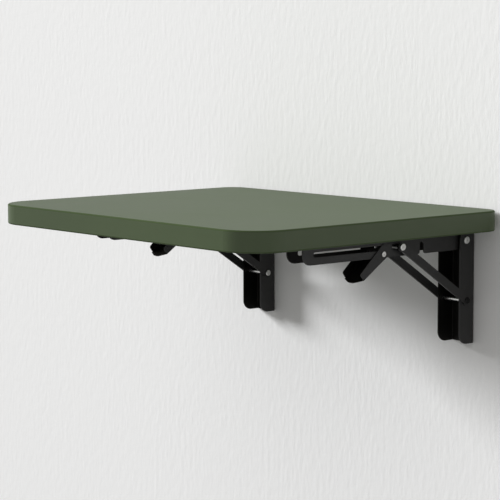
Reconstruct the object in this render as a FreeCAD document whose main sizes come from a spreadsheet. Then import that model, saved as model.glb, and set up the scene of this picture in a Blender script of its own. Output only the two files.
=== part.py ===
"""Wall mounted drop leaf table: a board on two folding steel brackets.

X runs along the wall, the wall is the plane Y = 0, the room is towards -Y and Z is up.
The origin is on the wall, in the middle of the four wall screw holes.
Each bracket is drawn at X = 0 and then placed left or right.
"""
import FreeCAD, Part
import math
import os
import re
import Sketcher

SIZES = {
    # board
    "leaf_width": 500.0,
    "leaf_depth": 400.0,
    "leaf_thickness": 25.0,
    "leaf_front_radius": 48.0,
    "leaf_back_radius": 24.0,
    "leaf_rim_radius": 2.0,
    "wall_gap": 2.5,
    # bracket layout
    "bracket_inset": 65.6,
    "hinge_standoff": 15.3,
    "hinge_drop": 14.0,
    "hinge_height": 60.0,
    "foot_drop": 74.2,
    "brace_reach": 112.8,
    # wall plate
    "plate_gauge": 1.5,
    "plate_half_width": 18.2,
    "plate_depth": 26.7,
    "plate_drop": 128.3,
    "plate_corner_radius": 13.0,
    "plate_bend_radius": 2.6,
    "wall_hole_radius": 2.75,
    "wall_hole_pitch": 80.0,
    # arm channel
    "arm_gauge": 1.6,
    "arm_half_width": 13.9,
    "arm_drop": 11.5,
    "arm_reach": 266.6,
    "arm_corner_radius": 12.0,
    "arm_bend_radius": 2.6,
    "slot_radius": 3.0,
    "slot_end_inset": 19.5,
    "notch_radius": 2.8,
    "notch_width": 6.4,
    "notch_flare": 0.8,
    # brace bars
    "bar_gauge": 2.0,
    "bar_width": 10.4,
    "bar_end_radius": 5.9,
    # pins and rivets
    "hinge_pin_radius": 2.75,
    "hinge_head_radius": 4.7,
    "hinge_head_rise": 1.6,
    "washer_radius": 6.0,
    "foot_pin_radius": 2.3,
    "foot_head_radius": 4.1,
    "foot_head_rise": 1.5,
    "top_rivet_radius": 2.9,
    "top_head_radius": 4.5,
    "top_head_rise": 1.6,
    "top_stub_length": 0.9,
    "slide_pin_radius": 2.75,
    "lever_pin_radius": 1.75,
    "lever_head_radius": 3.4,
    "lever_head_thickness": 0.9,
    # release lever
    "lever_reach": 139.0,
    "lever_drop": 7.1,
    "lever_gauge": 1.0,
    "lever_nose_back": 13.5,
    "lever_nose_up": 1.0,
    "lever_head_up": 11.5,
    "lever_shoulder_out": 1.4,
    "lever_front_out": 38.3,
    "lever_front_drop": 21.3,
    "lever_end_out": 32.5,
    "lever_end_drop": 28.9,
    "lever_heel_out": 1.0,
    "lever_heel_drop": 8.2,
    "lever_tab_length": 6.4,
    "lever_tip_half_width": 2.8,
    "lever_wrap": 4.6,
    "lever_corner_radius": 3.0,
    "lever_shoulder_radius": 7.0,
    # return spring
    "spring_wire_radius": 0.4,
    "spring_coil_radius": 2.45,
    "spring_pitch": 1.4,
    "spring_long_leg": 17.0,
    "spring_short_leg": 8.0,
    # table screws
    "screw_radius": 2.0,
    "screw_length": 17.0,
    "screw_head_radius": 3.9,
    "screw_head_height": 2.4,
    "screw_first_reach": 32.0,
    "screw_end_inset": 36.6,
    # clearances
    "running_gap": 0.05,
    "side_gap": 0.3,
    "fixed_gap": 0.02,
    "overrun": 5.0,
}

HEAD_ROUND_SHARE = 0.65
INNER_BEND_SHARE = 0.35
SPRING_TURNS = 5
SCREW_COUNT = 4
QUARTER_TURN = 90
FULL_TURN = 360
ROUGH_LEAN = 150
ROUGH_RADIUS = 1.0
ROUGH_MIDDLE = 2.0
CLOSE = 1e-4

DERIVED = {
    "bracket_x": "leaf_width / 2 - bracket_inset",
    "hinge_y": "-hinge_standoff",
    "hinge_z": "hinge_height",
    "foot_z": "hinge_z - foot_drop",
    "underside_z": "hinge_z + hinge_drop",
    "brace_top_y": "hinge_y - brace_reach",
    "brace_length": "sqrt(brace_reach * brace_reach + foot_drop * foot_drop)",
    "plate_nose": "plate_depth - hinge_standoff",
    "plate_bottom_z": "hinge_z - plate_drop",
    "plate_height": "plate_drop + plate_nose",
    "plate_inside": "plate_half_width - plate_gauge",
    "arm_inside": "arm_half_width - arm_gauge",
    "arm_bottom_z": "hinge_z - arm_drop",
    "arm_start": "hinge_standoff - arm_drop",
    "bar_offset": "plate_half_width + side_gap",
    "bar_outside": "bar_offset + bar_gauge",
    "lever_inside": "arm_half_width + side_gap",
    "lever_outside": "lever_inside + lever_gauge",
    "lever_y": "hinge_y - lever_reach",
    "lever_z": "hinge_z - lever_drop",
    "edge_out": "lever_end_out - lever_heel_out",
    "edge_drop": "lever_end_drop - lever_heel_drop",
    "edge_length": "sqrt(edge_out * edge_out + edge_drop * edge_drop)",
    "along_out": "edge_out / edge_length",
    "along_drop": "edge_drop / edge_length",
    "web_up_out": "lever_gauge * along_drop",
    "web_up": "lever_gauge * along_out",
    "back_run": "lever_nose_back + lever_heel_out",
    "back_climb": "lever_heel_drop + lever_nose_up",
    "back_length": "sqrt(back_run * back_run + back_climb * back_climb)",
    "back_out": "back_run / back_length",
    "back_up": "back_climb / back_length",
    "heel_shift": "lever_gauge / (1 + along_drop * back_up + along_out * back_out)",
}

SIDES = (("left", -1), ("right", 1))
ALONG_X = FreeCAD.Vector(1, 0, 0)
ALONG_Y = FreeCAD.Vector(0, 1, 0)
ALONG_Z = FreeCAD.Vector(0, 0, 1)
WORD = re.compile(r"[a-z][a-z_]*")

doc = FreeCAD.newDocument("drop_leaf_table")
sheet = doc.addObject("Spreadsheet::Sheet", "Sheet")
for row, (name, value) in enumerate(SIZES.items(), start=1):
    sheet.set("A%d" % row, name)
    sheet.set("B%d" % row, str(value))
    sheet.setAlias("B%d" % row, name)
probe = doc.addObject("Spreadsheet::Sheet", "Probe")
doc.recompute()

nodes = []


def spelled(text):
    """Write an expression with every name led back to the sheet's cells."""
    def replace(found):
        word = found.group(0)
        if word in SIZES:
            return "Sheet." + word
        if word in DERIVED:
            return "(" + spelled(DERIVED[word]) + ")"
        return word
    return WORD.sub(replace, str(text))


def bind(thing, prop, text):
    thing.setExpression(prop, spelled(text))


def place(thing, x="0", y="0", z="0"):
    bind(thing, "Placement.Base.x", x)
    bind(thing, "Placement.Base.y", y)
    bind(thing, "Placement.Base.z", z)


def keep(thing, label):
    thing.Label = label
    nodes.append((label, thing))
    return thing


# plain solids

def make(kind, **sizes):
    thing = doc.addObject("Part::" + kind, kind)
    for prop, text in sizes.items():
        bind(thing, prop, text)
    return thing


def rod(x0, x1, y, z, radius):
    """A round bar along X."""
    turn = FreeCAD.Rotation(ALONG_Y, QUARTER_TURN)
    thing = make("Cylinder", Radius=radius, Height="(%s) - (%s)" % (x1, x0))
    thing.Placement = FreeCAD.Placement(FreeCAD.Vector(), turn)
    place(thing, x0, y, z)
    return thing


def upright(x, y, z0, z1, radius):
    """A round bar along Z."""
    thing = make("Cylinder", Radius=radius, Height="(%s) - (%s)" % (z1, z0))
    place(thing, x, y, z0)
    return thing


def fuse(things):
    result = doc.addObject("Part::MultiFuse", "Fuse")
    result.Shapes = things
    result.Refine = True
    return result


def cut(base, tool):
    result = doc.addObject("Part::Cut", "Cut")
    result.Base = base
    result.Tool = tool
    return result


def group(things):
    result = doc.addObject("Part::Compound", "Group")
    result.Links = things
    return result


# sketched solids

def new_body():
    return doc.addObject("PartDesign::Body", "Body")


def sketch(body, plane, lift="0"):
    result = body.newObject("Sketcher::SketchObject", "Sketch")
    support = [f for f in body.Origin.OriginFeatures if f.Role == plane][0]
    result.AttachmentSupport = [(support, "")]
    result.MapMode = "FlatFace"
    bind(result, "AttachmentOffset.Base.z", lift)
    return result


def pin_point(flat, geometry, corner, here, x, y):
    """Fix one point of a sketch by two dimensions from the sketch's origin."""
    for kind, start, text in (("DistanceX", here.x, x), ("DistanceY", here.y, y)):
        index = flat.addConstraint(Sketcher.Constraint(kind, -1, 1, geometry, corner, start))
        bind(flat, "Constraints[%d]" % index, text)


def outline(flat, points):
    """A closed run of straight lines through the points."""
    count = len(points)
    first = flat.GeometryCount
    rough = []
    for step in range(count):
        angle = 2 * math.pi * step / count
        rough.append(FreeCAD.Vector(ROUGH_MIDDLE + ROUGH_RADIUS * math.cos(angle),
                                    ROUGH_MIDDLE + ROUGH_RADIUS * math.sin(angle), 0))
    for step in range(count):
        flat.addGeometry(Part.LineSegment(rough[step], rough[(step + 1) % count]), False)
    for step in range(count):
        after = first + (step + 1) % count
        flat.addConstraint(Sketcher.Constraint("Coincident", first + step, 2, after, 1))
    for step, (x, y) in enumerate(points):
        pin_point(flat, first + step, 1, rough[step], x, y)


def ring(flat, x, y, radius):
    """A circle."""
    middle = FreeCAD.Vector(ROUGH_MIDDLE, ROUGH_MIDDLE, 0)
    index = flat.addGeometry(Part.Circle(middle, ALONG_Z, ROUGH_RADIUS), False)
    pin_point(flat, index, 3, middle, x, y)
    size = flat.addConstraint(Sketcher.Constraint("Radius", index, ROUGH_RADIUS))
    bind(flat, "Constraints[%d]" % size, radius)


def pad(body, flat, length, middle=False):
    result = body.newObject("PartDesign::Pad", "Pad")
    result.Profile = flat
    result.Midplane = middle
    bind(result, "Length", length)
    doc.recompute()
    return result


def pocket(body, flat, length=None):
    """A cut on both sides of the sketch: of one length, or right through."""
    result = body.newObject("PartDesign::Pocket", "Pocket")
    result.Profile = flat
    result.Midplane = True
    if length is None:
        result.Type = "ThroughAll"
    else:
        bind(result, "Length", length)
    doc.recompute()
    return result


def size_of(text):
    """The present value of an expression, worked out on a spare cell."""
    probe.set("A1", "=" + spelled(text))
    probe.recompute()
    return float(probe.get("A1"))


def near(value, level):
    return abs(value - level) < CLOSE


def at(y, z):
    """A test for a point of one height and distance from the wall."""
    here_y = size_of(y)
    here_z = size_of(z)
    return lambda p: near(p.y, here_y) and near(p.z, here_z)


def edges_where(base, direction, test):
    """Names of the straight edges along a direction whose middle passes the test."""
    names = []
    for index, edge in enumerate(base.Shape.Edges, start=1):
        if edge.Curve.TypeId != "Part::GeomLine":
            continue
        run = edge.Vertexes[-1].Point - edge.Vertexes[0].Point
        if run.normalize().cross(direction).Length > CLOSE:
            continue
        if test(edge.CenterOfMass):
            names.append("Edge%d" % index)
    return names


def round_off(body, base, names, radius):
    result = body.newObject("PartDesign::Fillet", "Fillet")
    result.Base = (base, names)
    bind(result, "Radius", radius)
    doc.recompute()
    return result


def screw_reaches():
    """The screws' distances from the hinge, spread evenly along the arm."""
    spread = "(arm_reach - screw_end_inset - screw_first_reach)"
    gaps = SCREW_COUNT - 1
    return ["screw_first_reach + %s * %d / %d" % (spread, step, gaps) for step in range(SCREW_COUNT)]


def make_tabletop():
    body = new_body()
    flat = sketch(body, "XY_Plane", "underside_z")
    half = "leaf_width / 2"
    back = "-wall_gap"
    front = "-wall_gap - leaf_depth"
    outline(flat, [("-" + half, front), (half, front), (half, back), ("-" + half, back)])
    solid = pad(body, flat, "leaf_thickness")
    for level, radius in ((front, "leaf_front_radius"), (back, "leaf_back_radius")):
        end = size_of(level)
        corners = edges_where(solid, ALONG_Z, lambda p: near(p.y, end))
        solid = round_off(body, solid, corners, radius)
    top = size_of("underside_z + leaf_thickness")
    low = size_of("underside_z")
    rims = []
    for index, edge in enumerate(solid.Shape.Edges, start=1):
        level = edge.CenterOfMass.z
        if near(level, top) or near(level, low):
            rims.append("Edge%d" % index)
    solid = round_off(body, solid, rims, "leaf_rim_radius")
    holes = sketch(body, "XY_Plane", "underside_z")
    for side_name, side in SIDES:
        for reach in screw_reaches():
            x = "%d * bracket_x" % side
            ring(holes, x, "hinge_y - (%s)" % reach, "screw_radius + fixed_gap")
    pocket(body, holes, "2 * (screw_length - arm_gauge + fixed_gap)")
    keep(body, "tabletop")


def make_wall_plate(label):
    body = new_body()
    flat = sketch(body, "XY_Plane", "plate_bottom_z")
    wide = "plate_half_width"
    inner = "plate_inside"
    outline(flat, [
        ("-" + wide, "0"), (wide, "0"), (wide, "-plate_depth"), (inner, "-plate_depth"),
        (inner, "-plate_gauge"), ("-" + inner, "-plate_gauge"),
        ("-" + inner, "-plate_depth"), ("-" + wide, "-plate_depth")])
    solid = pad(body, flat, "plate_height")
    depth = size_of("plate_depth")
    low = size_of("plate_bottom_z")
    high = size_of("plate_bottom_z + plate_height")
    bends = edges_where(solid, ALONG_Z, lambda p: near(p.y, 0))
    solid = round_off(body, solid, bends, "plate_bend_radius")
    gauge = size_of("plate_gauge")
    inside = size_of("plate_inside")
    bends = edges_where(solid, ALONG_Z, lambda p: near(p.y, -gauge) and near(abs(p.x), inside))
    solid = round_off(body, solid, bends, "%s * plate_bend_radius" % INNER_BEND_SHARE)
    corners = edges_where(solid, ALONG_X, lambda p: near(p.y, -depth) and near(p.z, low))
    solid = round_off(body, solid, corners, "plate_corner_radius")
    corners = edges_where(solid, ALONG_X, lambda p: near(p.y, -depth) and near(p.z, high))
    solid = round_off(body, solid, corners, "plate_nose - fixed_gap")
    pins = sketch(body, "YZ_Plane")
    ring(pins, "hinge_y", "hinge_z", "hinge_pin_radius + fixed_gap")
    ring(pins, "hinge_y", "foot_z", "foot_pin_radius + fixed_gap")
    pocket(body, pins)
    holes = sketch(body, "XZ_Plane")
    ring(holes, "0", "wall_hole_pitch / 2", "wall_hole_radius")
    ring(holes, "0", "-wall_hole_pitch / 2", "wall_hole_radius")
    pocket(body, holes)
    return keep(body, label)


def make_arm(label):
    body = new_body()
    flat = sketch(body, "XZ_Plane", "arm_start")
    wide = "arm_half_width"
    inner = "arm_inside"
    web = "underside_z - arm_gauge"
    outline(flat, [
        ("-" + wide, "underside_z"), ("-" + wide, "arm_bottom_z"), ("-" + inner, "arm_bottom_z"),
        ("-" + inner, web), (inner, web), (inner, "arm_bottom_z"),
        (wide, "arm_bottom_z"), (wide, "underside_z")])
    solid = pad(body, flat, "arm_drop + arm_reach")
    high = size_of("underside_z")
    low = size_of("arm_bottom_z")
    under = size_of(web)
    inside = size_of("arm_inside")
    start = size_of("arm_start")
    far_end = size_of("hinge_y - arm_reach")
    bends = edges_where(solid, ALONG_Y, lambda p: near(p.z, high))
    solid = round_off(body, solid, bends, "arm_bend_radius")
    bends = edges_where(solid, ALONG_Y, lambda p: near(p.z, under) and near(abs(p.x), inside))
    solid = round_off(body, solid, bends, "%s * arm_bend_radius" % INNER_BEND_SHARE)
    corners = edges_where(solid, ALONG_X, lambda p: near(p.z, low) and near(p.y, -start))
    solid = round_off(body, solid, corners, "arm_drop - fixed_gap")
    corners = edges_where(solid, ALONG_X, lambda p: near(p.z, low) and near(p.y, far_end))
    solid = round_off(body, solid, corners, "arm_corner_radius")
    slots = sketch(body, "YZ_Plane")
    slot_out = "hinge_y - arm_reach + slot_end_inset"
    outline(slots, [
        (slot_out, "hinge_z - slot_radius"), ("brace_top_y", "hinge_z - slot_radius"),
        ("brace_top_y", "hinge_z + slot_radius"), (slot_out, "hinge_z + slot_radius")])
    notch_y = "hinge_y - foot_drop"
    notch_out = notch_y + " - notch_radius"
    notch_in = notch_out + " + notch_width"
    mouth = notch_in + " + notch_flare"
    notch_top = "hinge_z + notch_radius"
    outline(slots, [
        (notch_out, "arm_bottom_z - overrun"), (mouth, "arm_bottom_z - overrun"),
        (mouth, "arm_bottom_z"), (notch_in, notch_top), (notch_out, notch_top)])
    solid = pocket(body, slots)
    for y, z in ((notch_out, notch_top), (notch_in, notch_top), (mouth, "arm_bottom_z"),
                 (notch_out, "arm_bottom_z")):
        corners = edges_where(solid, ALONG_X, at(y, z))
        solid = round_off(body, solid, corners, "notch_radius")
    rounds = sketch(body, "YZ_Plane")
    ring(rounds, slot_out, "hinge_z", "slot_radius")
    ring(rounds, "brace_top_y", "hinge_z", "slot_radius")
    ring(rounds, "hinge_y", "hinge_z", "hinge_pin_radius + running_gap")
    ring(rounds, "lever_y", "lever_z", "lever_pin_radius + fixed_gap")
    pocket(body, rounds)
    holes = sketch(body, "XY_Plane", "underside_z")
    for reach in screw_reaches():
        ring(holes, "0", "hinge_y - (%s)" % reach, "screw_radius + fixed_gap")
    pocket(body, holes, "2 * (arm_gauge + overrun)")
    return keep(body, label)


def make_bar(label, side):
    """A flat bar with round ends, outside the wall plate, from the foot pin up to the slot."""
    inner = "bar_offset"
    outer = "bar_outside"
    if side > 0:
        low, high = inner, outer
    else:
        low, high = "-" + outer, "-" + inner
    strip = make("Box", Length="bar_gauge", Width="brace_length", Height="bar_width")
    strip.Placement = FreeCAD.Placement(FreeCAD.Vector(), FreeCAD.Rotation(ALONG_X, ROUGH_LEAN))
    bind(strip, "Placement.Rotation.Angle", "180 deg - atan(foot_drop / brace_reach)")
    place(strip, low, "hinge_y + bar_width / 2 * foot_drop / brace_length",
          "foot_z + bar_width / 2 * brace_reach / brace_length")
    foot = rod(low, high, "hinge_y", "foot_z", "bar_end_radius")
    top = rod(low, high, "brace_top_y", "hinge_z", "bar_end_radius")
    bar = fuse([strip, foot, top])
    past_low = "(%s) - overrun" % low
    past_high = "(%s) + overrun" % high
    holes = fuse([
        rod(past_low, past_high, "hinge_y", "foot_z", "foot_pin_radius + running_gap"),
        rod(past_low, past_high, "brace_top_y", "hinge_z", "top_rivet_radius + fixed_gap")])
    return keep(cut(bar, holes), label)


def turned(points, rims, rounding, y, z):
    """A body turned about an X axis at the given height, with its outer rims rounded."""
    body = new_body()
    flat = sketch(body, "XY_Plane")
    outline(flat, points)
    solid = body.newObject("PartDesign::Revolution", "Turned")
    solid.Profile = flat
    solid.ReferenceAxis = (flat, ["H_Axis"])
    solid.Angle = FULL_TURN
    doc.recompute()
    levels = [size_of(rim) for rim in rims]
    names = []
    for index, edge in enumerate(solid.Shape.Edges, start=1):
        if edge.Curve.TypeId != "Part::GeomCircle":
            continue
        if any(near(edge.Curve.Center.x, level) for level in levels):
            names.append("Edge%d" % index)
    round_off(body, solid, names, rounding)
    place(body, "0", y, z)
    return body


def make_pin(label, half, y, z, radius, head_radius, rise):
    """A rivet across the bracket with a rounded head at each end."""
    end = "(%s) + (%s)" % (half, rise)
    body = turned([
        ("-(%s)" % end, "0"), ("-(%s)" % end, head_radius), ("-(%s)" % half, head_radius),
        ("-(%s)" % half, radius), (half, radius), (half, head_radius), (end, head_radius), (end, "0")],
        ["-(%s)" % end, end], "%s * (%s)" % (HEAD_ROUND_SHARE, rise), y, z)
    return keep(body, label)


def make_washers(label):
    discs = []
    for side in (1, -1):
        near_face = "arm_half_width + side_gap / 2"
        far_face = "plate_inside - fixed_gap"
        if side > 0:
            low, high = near_face, far_face
        else:
            low, high = "-(%s)" % far_face, "-(%s)" % near_face
        disc = rod(low, high, "hinge_y", "hinge_z", "washer_radius")
        hole = rod("(%s) - overrun" % low, "(%s) + overrun" % high, "hinge_y", "hinge_z",
                   "hinge_pin_radius + fixed_gap")
        discs.append(cut(disc, hole))
    return keep(group(discs), label)


def make_top_rivets(label):
    """One short rivet in the upper end of each bar, its head outside."""
    rivets = []
    inner = "bar_offset - top_stub_length"
    end = "bar_outside + top_head_rise"
    for sign in ("", "-"):
        points = [(inner, "0"), (inner, "top_rivet_radius"), ("bar_outside", "top_rivet_radius"),
                  ("bar_outside", "top_head_radius"), (end, "top_head_radius"), (end, "0")]
        points = [("%s(%s)" % (sign, x), y) for x, y in points]
        rivets.append(turned(points, ["%s(%s)" % (sign, end)], "%s * top_head_rise" % HEAD_ROUND_SHARE,
                             "brace_top_y", "hinge_z"))
    return keep(group(rivets), label)


def make_lever(label):
    body = new_body()
    flat = sketch(body, "YZ_Plane")

    def spot(out, up):
        return ("lever_y - (%s)" % out, "lever_z + (%s)" % up)

    tip_out = "lever_end_out + lever_tab_length * along_out"
    tip_up = "-lever_end_drop - lever_tab_length * along_drop"
    end_up_out = "lever_end_out + web_up_out"
    end_up = "-lever_end_drop + web_up"
    outline(flat, [
        spot("-lever_nose_back", "lever_nose_up"),
        spot("-lever_nose_back", "lever_head_up"),
        spot("lever_shoulder_out", "lever_head_up"),
        spot("lever_front_out", "-lever_front_drop"),
        spot(end_up_out, end_up),
        spot(tip_out + " + web_up_out", tip_up + " + web_up"),
        spot(tip_out, tip_up),
        spot("lever_heel_out", "-lever_heel_drop")])
    solid = pad(body, flat, "2 * lever_outside", True)
    inner = sketch(body, "YZ_Plane")
    wrap_out = "lever_heel_out - lever_wrap * back_out"
    wrap_up = "-lever_heel_drop + lever_wrap * back_up"
    outline(inner, [
        spot(wrap_out + " - overrun * back_up", wrap_up + " - overrun * back_out"),
        spot("-lever_nose_back - overrun", "-lever_front_drop"),
        spot("-lever_nose_back - overrun", "lever_head_up + overrun"),
        spot("lever_front_out + overrun", "lever_head_up + overrun"),
        spot(tip_out + " + overrun", tip_up + " + web_up"),
        spot(tip_out + " + web_up_out", tip_up + " + web_up"),
        spot("lever_heel_out + heel_shift * (along_drop + back_up)",
             "-lever_heel_drop + heel_shift * (along_out + back_out)"),
        spot(wrap_out + " + lever_gauge * back_up", wrap_up + " + lever_gauge * back_out")])
    solid = pocket(body, inner, "2 * lever_inside")
    bore = sketch(body, "YZ_Plane")
    ring(bore, "lever_y", "lever_z", "lever_pin_radius + running_gap")
    solid = pocket(body, bore)

    for out, up in (("-lever_nose_back", "lever_nose_up"), ("-lever_nose_back", "lever_head_up"),
                    ("lever_front_out", "-lever_front_drop")):
        corners = edges_where(solid, ALONG_X, at(*spot(out, up)))
        solid = round_off(body, solid, corners, "lever_corner_radius")
    corners = edges_where(solid, ALONG_X, at(*spot("lever_shoulder_out", "lever_head_up")))
    solid = round_off(body, solid, corners, "lever_shoulder_radius")
    sides = sketch(body, "XZ_Plane")
    tip_z = "lever_z + " + tip_up
    past_z = tip_z + " - overrun"
    for sign in ("", "-"):
        tip = sign + "lever_tip_half_width"
        side = sign + "lever_outside"
        past = "%s(lever_outside + overrun)" % sign
        outline(sides, [(tip, past_z), (tip, tip_z), (side, "lever_z - lever_end_drop"),
                        (past, "lever_z - lever_end_drop"), (past, past_z)])
    pocket(body, sides)
    return keep(body, label)


def make_screws(label):
    screws = []
    seat = "underside_z - arm_gauge"
    for reach in screw_reaches():
        y = "hinge_y - (%s)" % reach
        shank = upright("0", y, seat, seat + " + screw_length", "screw_radius")
        head = upright("0", y, seat + " - screw_head_height", seat, "screw_head_radius")
        rounded = doc.addObject("Part::Fillet", "Head")
        rounded.Base = head
        doc.recompute()
        low = size_of(seat + " - screw_head_height")
        rim = size_of("screw_head_height * %s" % INNER_BEND_SHARE)
        rounded.Edges = [(index, rim, rim) for index, edge in enumerate(head.Shape.Edges, start=1)
                         if near(edge.CenterOfMass.z, low) and len(edge.Vertexes) == 1]
        screws.append(fuse([shank, rounded]))
    return keep(group(screws), label)


# spring: a wire of arcs that meet smoothly, two to each quarter turn

def arcs_between(p0, t0, p1, t1):
    """Two arcs from p0 to p1 that leave along t0 and arrive along t1."""
    chord = p1 - p0
    both = t0 + t1
    a = 2 * (1 - t0.dot(t1))
    b = 2 * chord.dot(both)
    reach = (-b + math.sqrt(b * b + 4 * a * chord.dot(chord))) / (2 * a)
    corner0 = p0 + t0 * reach
    corner1 = p1 - t1 * reach
    joint = (corner0 + corner1) * 0.5
    arcs = []
    for start, corner, end in ((p0, corner0, joint), (joint, corner1, p1)):
        middle = (start + end) * 0.5
        half = (end - start).Length / 2
        lean = math.acos(half / (corner - start).Length)
        bulge = (corner - middle).normalize() * (half * math.tan(lean / 2))
        arcs.append(Part.Arc(start, middle + bulge, end).toShape())
    return arcs


def make_spring(label):
    wire_radius = size_of("spring_wire_radius")
    radius = size_of("spring_coil_radius")
    pitch = size_of("spring_pitch")
    middle_y = size_of("lever_y")
    middle_z = size_of("lever_z")
    rise = pitch / (2 * math.pi)
    lean = math.atan2(size_of("edge_drop"), size_of("edge_out"))
    first = -math.pi / 2
    last = first - lean + 2 * math.pi * SPRING_TURNS

    def on_coil(angle):
        x = rise * (angle - (first + last) / 2)
        spot = FreeCAD.Vector(x, middle_y - radius * math.cos(angle), middle_z + radius * math.sin(angle))
        way = FreeCAD.Vector(rise, radius * math.sin(angle), radius * math.cos(angle)).normalize()
        return spot, way

    steps = round((last - first) / (math.pi / 2))
    spots = [on_coil(first + (last - first) * step / steps) for step in range(steps + 1)]
    start = spots[0][0] - spots[0][1] * size_of("spring_short_leg")
    end = spots[-1][0] + spots[-1][1] * size_of("spring_long_leg")
    edges = [Part.LineSegment(start, spots[0][0]).toShape()]
    for (p0, t0), (p1, t1) in zip(spots, spots[1:]):
        edges += arcs_between(p0, t0, p1, t1)
    edges.append(Part.LineSegment(spots[-1][0], end).toShape())
    section = Part.Wire([Part.Circle(start, spots[0][1], wire_radius).toShape()])
    solid = Part.Wire(edges).makePipeShell([section], True, False)
    spring = doc.addObject("Part::Feature", "Spring")
    spring.Shape = solid
    print(label, "least gap between turns, mm:", round(pitch - 2 * wire_radius, 3))
    return keep(spring, label)


make_tabletop()
for side_name, side in SIDES:
    pieces = [
        make_wall_plate(side_name + "_wall_plate"),
        make_pin(side_name + "_hinge_pin", "plate_half_width", "hinge_y", "hinge_z",
                 "hinge_pin_radius", "hinge_head_radius", "hinge_head_rise"),
        make_washers(side_name + "_hinge_washers"),
        make_pin(side_name + "_brace_foot_pin", "bar_outside + side_gap / 2", "hinge_y", "foot_z",
                 "foot_pin_radius", "foot_head_radius", "foot_head_rise"),
        make_arm(side_name + "_arm_channel"),
        make_bar(side_name + "_brace_left_bar", -1),
        make_bar(side_name + "_brace_right_bar", 1),
        make_top_rivets(side_name + "_brace_top_rivets"),
        keep(rod("-arm_half_width", "arm_half_width", "brace_top_y", "hinge_z", "slide_pin_radius"),
             side_name + "_slide_pin"),
        make_lever(side_name + "_release_lever"),
        make_pin(side_name + "_lever_pin", "lever_outside + side_gap / 2", "lever_y", "lever_z",
                 "lever_pin_radius", "lever_head_radius", "lever_head_thickness"),
        make_spring(side_name + "_release_spring"),
        make_screws(side_name + "_table_screws"),
    ]
    for piece in pieces:
        offset = "%d * bracket_x" % side
        if piece.Label.endswith("_slide_pin"):
            offset = "%s - arm_half_width" % offset
        bind(piece, "Placement.Base.x", offset)

doc.recompute()
os.makedirs("parts", exist_ok=True)
for label, thing in nodes:
    if "Invalid" in thing.State or "Error" in thing.State:
        raise RuntimeError("%s did not build: %s" % (label, thing.State))
    if thing.Shape.isNull() or not thing.Shape.isValid():
        raise RuntimeError("%s has no valid shape" % label)
    thing.Shape.exportStep("parts/%s.step" % label)
    box = thing.Shape.BoundBox
    print(label, len(thing.Shape.Solids), "solids",
          [round(v, 2) for v in (box.XMin, box.XMax, box.YMin, box.YMax, box.ZMin, box.ZMax)])
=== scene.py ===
"""Looks of the wall mounted drop leaf table: paint, powder coat, steel, wall, light and camera."""

import math

import bpy
from mathutils import Matrix, Vector


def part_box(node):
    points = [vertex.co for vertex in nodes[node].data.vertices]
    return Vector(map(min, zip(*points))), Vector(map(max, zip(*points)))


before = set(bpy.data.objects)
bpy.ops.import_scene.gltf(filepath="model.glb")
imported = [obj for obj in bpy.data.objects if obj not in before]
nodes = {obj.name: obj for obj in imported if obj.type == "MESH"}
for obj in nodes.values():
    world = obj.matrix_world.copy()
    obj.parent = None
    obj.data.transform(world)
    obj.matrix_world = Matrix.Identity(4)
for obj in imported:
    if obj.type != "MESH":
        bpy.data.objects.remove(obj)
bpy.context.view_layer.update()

# Camera, fitted to the board's outline in the photo.
SENSOR_MM = 36.0
IMAGE_PX = 500.0
FOCAL_PX = 1867.03
YAW = math.radians(49.197)
PITCH = math.radians(6.378)
ROLL = math.radians(-0.115)
CAMERA_FROM_BOARD = Vector((1.74343, -1.69166, 0.20228))
NEAR_CLIP = 0.05

# Colours of the board and the stage, as a screen shows them.
GREEN = (0.264, 0.316, 0.208)
GREEN_DARK = (0.250, 0.301, 0.196)
WALL = (0.93, 0.93, 0.93)
FLOOR = (0.82, 0.82, 0.82)
FLOOR_BOUNCE = (0.52, 0.52, 0.52)

# Colours of the metal, as shares of the light that it throws back.
BLACK = (0.0065, 0.0064, 0.0062)
BLACK_PALER = (0.00975, 0.0096, 0.0093)
BLACK_WORN = (0.015, 0.015, 0.0148)
# Painted shade for the inner faces of a channel.
BLACK_PAINTED_SHADE = (0.0046, 0.0042, 0.0034)
STEEL = (0.80, 0.80, 0.78)
# A brighter copy of the steel: painted light on the hinge pins.
STEEL_PAINTED_LIT = (0.95, 0.95, 0.93)
# A dark steel tint for the spring, the slide pin and, as painted shade, the rivets' middles.
STEEL_DARK = (0.075, 0.075, 0.072)
STEEL_BLACK = (0.025, 0.025, 0.025)
# Painted shade in the middle of a pin head, where a dimple would be.
STEEL_DIMPLE_SHADE = (0.30, 0.30, 0.29)
STEEL_CLOUDING = 0.8

# Finish of the board by how level a spot lies: a satin edge, a rubbed rounding and matte faces.
BOARD_LEVELS = (0.06, 0.14, 0.95, 0.99)
BOARD_ROUGH = (0.38, 0.75, 0.75, 0.50)
BOARD_SHINE = (0.39, 0.22, 0.22, 0.36)
BOARD_UNEVEN = 0.08

# Painted shade inside a channel: distances out from the piece's middle, as shares of its width, up to which
# the shade is full and from which it is gone.
SHADE_FULL_UNTIL = 0.475
SHADE_GONE_FROM = 0.485

# Shares of a pin's width or length where a tint changes: where the painted shade on a rivet's middle ends and
# where the black head starts; and half the width of that change.
RIVET_SHADE_TO = 0.455
FOOT_HEAD_START = 0.955
TINT_BLUR = 0.005

# Stage: the wall lies just behind the plates, and the floor well below them.
WALL_BACK = 0.0005
FLOOR_Z = -0.66
ROOM = 3.0
STAGE_ROUGH = 0.9
STROKE_SCALE = (1.0, 1.0, 0.36)

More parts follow.
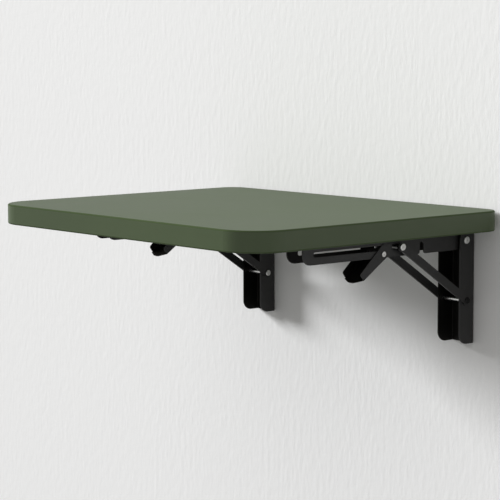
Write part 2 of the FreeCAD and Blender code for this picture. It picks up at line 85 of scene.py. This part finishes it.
# Light: a soft key from the upper left, a wide soft box overhead and a dim room.
KEY_WAY = (-2.8, -1.0, 1.1)
KEY_WIDTH = math.radians(17.0)
KEY_POWER = 5.2
KEY_TINT = (0.985, 0.992, 1.0)
TOP_WAY = (0.0, -0.35, 1.0)
TOP_SIZE = 2.6
TOP_POWER = 12.0
LAMP_FAR = 3.2
ROOM_TINT = (1.0, 0.985, 0.955, 1.0)
ROOM_LIGHT = 0.52
BACKDROP = (0.62, 0.62, 0.62, 1.0)
BACKDROP_LIGHT = 1.0


def linear(colour):
    """A screen colour as the light that a shader works with."""
    result = []
    for part in colour:
        if part <= 0.04045:
            result.append(part / 12.92)
        else:
            result.append(((part + 0.055) / 1.055) ** 2.4)
    return (*result, 1.0)


# Materials

class Paint:
    """A node tree with a principled shader and a few short hands."""

    def __init__(self, name):
        self.material = bpy.data.materials.new(name)
        self.material.use_nodes = True
        self.tree = self.material.node_tree
        self.shader = self.tree.nodes["Principled BSDF"]
        self.place = self.tree.nodes.new("ShaderNodeTexCoord").outputs["Object"]

    def feed(self, socket, value):
        if isinstance(value, bpy.types.NodeSocket):
            self.tree.links.new(value, socket)
        else:
            socket.default_value = value

    def set(self, name, value):
        self.feed(self.shader.inputs[name], value)

    def add(self, kind, **inputs):
        node = self.tree.nodes.new("ShaderNode" + kind)
        for name, value in inputs.items():
            self.feed(node.inputs[name], value)
        return node

    def noise(self, scale, detail, place=None):
        return self.add("TexNoise", Scale=scale, Detail=detail, Vector=place or self.place).outputs["Fac"]

    def ramp(self, value, *stops):
        """Colours or greys along a ramp, each stop a place and a value."""
        node = self.add("ValToRGB", Fac=value)
        points = node.color_ramp.elements
        for _ in stops[2:]:
            points.new(1.0)
        for point, (where, colour) in zip(points, stops):
            point.position = where
            point.color = colour if isinstance(colour, tuple) else (colour, colour, colour, 1.0)
        return node.outputs["Color"]

    def math(self, kind, first, second=None):
        node = self.add("Math", Value=first)
        node.operation = kind
        if second is not None:
            self.feed(node.inputs[1], second)
        return node.outputs[0]

    def blend(self, share, first, second):
        """The first colour, and the second one where the share is 1."""
        node = self.add("Mix", Factor=share)
        node.data_type = "RGBA"
        self.feed(node.inputs[6], first)
        self.feed(node.inputs[7], (*second, 1.0))
        return node.outputs[2]

    def swap(self, share, first, second):
        """The first shader, and the second one where the share is 1."""
        node = self.add("MixShader", Fac=share)
        self.tree.links.new(first.outputs[0], node.inputs[1])
        self.tree.links.new(second.outputs[0], node.inputs[2])
        return node

    def box(self):
        """Where a spot lies in the box of its piece, from 0 to 1 along each axis."""
        return self.add("SeparateXYZ", Vector=self.add("TexCoord").outputs["Generated"]).outputs

    def aside(self):
        """How far out a spot lies from the middle of its piece, from 0 to 0.5 of the piece's width."""
        return self.math("ABSOLUTE", self.math("SUBTRACT", self.box()["X"], 0.5))

    def around(self):
        """How far out a spot lies from the axis of a pin along X, from 0 to 0.5 of the head's width."""
        box = self.box()
        squares = [self.math("POWER", self.math("SUBTRACT", box[axis], 0.5), 2.0) for axis in "YZ"]
        return self.math("SQRT", self.math("ADD", *squares))

    def bump(self, height, strength, distance):
        return self.add("Bump", Height=height, Strength=strength, Distance=distance).outputs["Normal"]


def board_paint():
    """Green lacquer: faint cloudiness, a fine roller grain, matte faces, matte rounding and a satin edge."""
    paint = Paint("board_paint")
    cloud = paint.noise(scale=9.0, detail=4.0)
    paint.set("Base Color", paint.ramp(cloud, (0.35, linear(GREEN_DARK)), (0.65, linear(GREEN))))
    grain = paint.noise(scale=900.0, detail=2.0)
    paint.set("Normal", paint.bump(grain, strength=0.12, distance=0.0002))
    normal = paint.add("TexCoord").outputs["Normal"]
    level = paint.math("ABSOLUTE", paint.add("SeparateXYZ", Vector=normal).outputs["Z"])
    rough = paint.ramp(level, *zip(BOARD_LEVELS, BOARD_ROUGH))
    paint.set("Roughness", paint.math("ADD", rough, paint.math("MULTIPLY", cloud, BOARD_UNEVEN)))
    paint.set("Specular IOR Level", paint.ramp(level, *zip(BOARD_LEVELS, BOARD_SHINE)))
    return paint.material


def powder_coat(name, channel):
    """Satin black powder coat: orange peel, rubbed edges and, in a channel, painted shade: a darker, less
    shiny black across the middle of the width, where shade falls on the inner faces.
    """
    paint = Paint(name)
    edge = paint.add("NewGeometry").outputs["Pointiness"]
    patch = paint.noise(scale=60.0, detail=4.0)
    black = paint.ramp(patch, (0.3, (*BLACK, 1.0)), (0.8, (*BLACK_PALER, 1.0)))
    colour = paint.blend(paint.ramp(edge, (0.50, 0.0), (0.62, 0.6)), black, BLACK_WORN)
    # Painted shade: across the middle of a channel's width the coat is darker and less shiny, where shade
    # falls on the inner faces.
    if channel:
        outer = paint.aside()
        inside = paint.ramp(outer, (SHADE_FULL_UNTIL, 1.0), (SHADE_GONE_FROM, 0.0))
        colour = paint.blend(inside, colour, BLACK_PAINTED_SHADE)
        paint.set("Specular IOR Level", paint.ramp(outer, (SHADE_FULL_UNTIL, 0.15), (SHADE_GONE_FROM, 0.50)))
    paint.set("Base Color", colour)
    paint.set("Roughness", paint.ramp(patch, (0.2, 0.42), (0.8, 0.55)))
    peel = paint.noise(scale=1600.0, detail=2.0)
    paint.set("Normal", paint.bump(peel, strength=0.25, distance=0.0002))
    return paint.material


def steel(name, tint, rough, heads=False, inside=None, end=None):
    """Plated steel with fine scratches.

    With heads, painted shade darkens the middle of a pin's heads, where a dimple would be, and a
    painted dark reflection darkens their rim. inside is a tint of painted shade across the middle of
    the piece's width, and end is the tint of its right end.
    """
    paint = Paint(name)
    paint.set("Metallic", 1.0)
    cloud = paint.noise(scale=400.0, detail=4.0)
    dull = tuple(part * STEEL_CLOUDING for part in tint)
    colour = paint.ramp(cloud, (0.3, (*dull, 1.0)), (0.7, (*tint, 1.0)))
    # Painted shade: a dark tint across the middle of the width, where a rivet's shank lies between the bars.
    if inside is not None:
        middle = paint.ramp(paint.aside(), (RIVET_SHADE_TO - TINT_BLUR, 1.0), (RIVET_SHADE_TO + TINT_BLUR, 0.0))
        colour = paint.blend(middle, colour, inside)
    if end is not None:
        across = paint.box()["X"]
        last = paint.ramp(across, (FOOT_HEAD_START - TINT_BLUR, 0.0), (FOOT_HEAD_START + TINT_BLUR, 1.0))
        colour = paint.blend(last, colour, end)
    if heads:
        # Painted shade in the middle of each head, where a dimple would be, and a painted dark reflection on
        # its rounded rim.
        around = paint.around()
        colour = paint.blend(paint.ramp(around, (0.05, 0.6), (0.12, 0.0)), colour, STEEL_DIMPLE_SHADE)
        colour = paint.blend(paint.ramp(around, (0.44, 0.0), (0.50, 0.7)), colour, STEEL_BLACK)
    paint.set("Base Color", colour)
    paint.set("Roughness", paint.ramp(cloud, (0.2, rough), (0.8, rough + 0.15)))
    scratch = paint.noise(scale=2500.0, detail=1.0)
    paint.set("Normal", paint.bump(scratch, strength=0.15, distance=0.0001))
    return paint.material


def set_material(name, material):
    data = nodes[name].data
    data.materials.clear()
    data.materials.append(material)


PAINT = board_paint()
COAT = powder_coat("powder_coat", channel=False)
SHADED_CHANNEL_COAT = powder_coat("powder_coat_painted_shade_inside", channel=True)
ZINC = steel("zinc_steel", STEEL, rough=0.22)
PIN = steel("zinc_pin", STEEL, rough=0.22, heads=True)
# Painted light: the hinge pins get a brighter copy of the steel, so their heads look more lit.
HINGE_PAINTED_LIT = steel("zinc_hinge_pin_painted_lit", STEEL_PAINTED_LIT, rough=0.32, heads=True)
SPRING = steel("spring_steel", STEEL_DARK, rough=0.35)
DARK_STEEL = steel("dark_steel", STEEL_DARK, rough=0.30)
# The rivets' middles, between the bars, get a dark tint as painted shade.
RIVET = steel("zinc_rivet", STEEL, rough=0.22, heads=True, inside=STEEL_DARK)
BLACK_HEAD = steel("foot_pin_black_head", STEEL, rough=0.22, end=STEEL_BLACK)
LOOKS = {
    "wall_plate": SHADED_CHANNEL_COAT,
    "arm_channel": SHADED_CHANNEL_COAT,
    "release_lever": SHADED_CHANNEL_COAT,
    "brace_left_bar": COAT,
    "brace_right_bar": COAT,
    "brace_top_rivets": RIVET,
    "brace_foot_pin": PIN,
    "lever_pin": PIN,
    "hinge_pin": HINGE_PAINTED_LIT,
    "slide_pin": DARK_STEEL,
    "release_spring": SPRING,
}

for node_name in nodes:
    set_material(node_name, LOOKS.get(node_name.split("_", 1)[-1], ZINC))
set_material("tabletop", PAINT)
# In the photo the outer head of the right bracket's foot pin is black, and that of the left one is bright.
set_material("right_brace_foot_pin", BLACK_HEAD)


# Wall and floor

def stage_plane(name, corners, material):
    mesh = bpy.data.meshes.new(name)
    mesh.from_pydata([Vector(c) for c in corners], [], [(0, 1, 2, 3)])
    mesh.materials.append(material)
    plane = bpy.data.objects.new(name, mesh)
    bpy.context.scene.collection.objects.link(plane)
    return plane


def stage_paint(name, colour):
    """Matte paint for the stage."""
    paint = Paint(name)
    paint.set("Base Color", linear(colour))
    paint.set("Roughness", STAGE_ROUGH)
    paint.set("Specular IOR Level", 0.0)
    return paint


def see_through(paint, surface, share=None):
    """Ends a stage paint, clear from behind and where the share is 1, so the object shows from every side."""
    behind = paint.add("NewGeometry").outputs["Backfacing"]
    clear = behind if share is None else paint.math("MAXIMUM", behind, share)
    shader = paint.swap(clear, surface, paint.add("BsdfTransparent"))
    paint.tree.links.new(shader.outputs[0], paint.tree.nodes["Material Output"].inputs["Surface"])
    return paint.material


def plaster_wall():
    """Pale brushed plaster that lets the room's light through to the table's back."""
    paint = stage_paint("plaster_wall", WALL)
    stroke = paint.add("Mapping", Vector=paint.place, Scale=STROKE_SCALE).outputs["Vector"]
    grain = paint.noise(scale=150.0, detail=4.0, place=stroke)
    paint.set("Normal", paint.bump(grain, strength=0.17, distance=0.0022))
    path = paint.add("LightPath")
    share = paint.math("MAXIMUM", path.outputs["Is Diffuse Ray"], path.outputs["Is Shadow Ray"])
    return see_through(paint, paint.shader, share)


def plain_floor():
    """Pale floor that throws little light back up."""
    paint = stage_paint("plain_floor", FLOOR)
    dim = paint.add("BsdfDiffuse", Color=linear(FLOOR_BOUNCE))
    floor = paint.swap(paint.add("LightPath").outputs["Is Diffuse Ray"], paint.shader, dim)
    return see_through(paint, floor)


stage_plane("stage_wall", [(-ROOM, WALL_BACK, FLOOR_Z), (ROOM, WALL_BACK, FLOOR_Z),
                           (ROOM, WALL_BACK, ROOM), (-ROOM, WALL_BACK, ROOM)], plaster_wall())
stage_plane("stage_floor", [(-ROOM, -ROOM, FLOOR_Z), (ROOM, -ROOM, FLOOR_Z),
                            (ROOM, ROOM, FLOOR_Z), (-ROOM, ROOM, FLOOR_Z)], plain_floor())


# Light

board_low, board_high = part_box("tabletop")
board_middle = (board_low + board_high) / 2


def lamp(name, kind, way, power):
    data = bpy.data.lights.new(name, kind)
    data.energy = power
    result = bpy.data.objects.new(name, data)
    bpy.context.scene.collection.objects.link(result)
    toward = Vector(way).normalized()
    result.location = board_middle + toward * LAMP_FAR
    result.rotation_euler = (-toward).to_track_quat("-Z", "Y").to_euler()
    return result


key = lamp("key", "SUN", KEY_WAY, KEY_POWER)
key.data.angle = KEY_WIDTH
key.data.color = KEY_TINT
# The key stands for a wide soft light, so it leaves no sharp glare.
key.visible_glossy = False
lamp("overhead", "AREA", TOP_WAY, TOP_POWER).data.size = TOP_SIZE

# The camera and the reflections see a pale backdrop past the wall and the floor.
world = bpy.data.worlds.new("room")
bpy.context.scene.world = world
world.use_nodes = True
sky = world.node_tree.nodes["Background"]
sky.inputs["Color"].default_value = ROOM_TINT
sky.inputs["Strength"].default_value = ROOM_LIGHT
pale = world.node_tree.nodes.new("ShaderNodeBackground")
pale.inputs["Color"].default_value = BACKDROP
pale.inputs["Strength"].default_value = BACKDROP_LIGHT
choice = world.node_tree.nodes.new("ShaderNodeMixShader")
path = world.node_tree.nodes.new("ShaderNodeLightPath")
links = world.node_tree.links
seen = path.outputs["Is Camera Ray"]
for ray in ("Is Glossy Ray", "Is Transmission Ray"):
    either = world.node_tree.nodes.new("ShaderNodeMath")
    either.operation = "MAXIMUM"
    links.new(seen, either.inputs[0])
    links.new(path.outputs[ray], either.inputs[1])
    seen = either.outputs[0]
links.new(seen, choice.inputs[0])
links.new(sky.outputs[0], choice.inputs[1])
links.new(pale.outputs[0], choice.inputs[2])
links.new(choice.outputs[0], world.node_tree.nodes["World Output"].inputs["Surface"])

# Camera
camera_data = bpy.data.cameras.new("photo_camera")
camera_data.sensor_width = SENSOR_MM
camera_data.lens = FOCAL_PX / IMAGE_PX * SENSOR_MM
camera_data.clip_start = NEAR_CLIP
camera = bpy.data.objects.new("photo_camera", camera_data)
bpy.context.scene.collection.objects.link(camera)
back_top = Vector((0.0, board_high.y, board_high.z))
camera.location = back_top + CAMERA_FROM_BOARD
upright = Matrix.Rotation(YAW, 3, "Z") @ Matrix.Rotation(math.pi / 2 - PITCH, 3, "X")
camera.rotation_euler = (upright @ Matrix.Rotation(ROLL, 3, "Z")).to_euler()
bpy.context.scene.camera = camera

bpy.context.scene.view_settings.view_transform = "Standard"
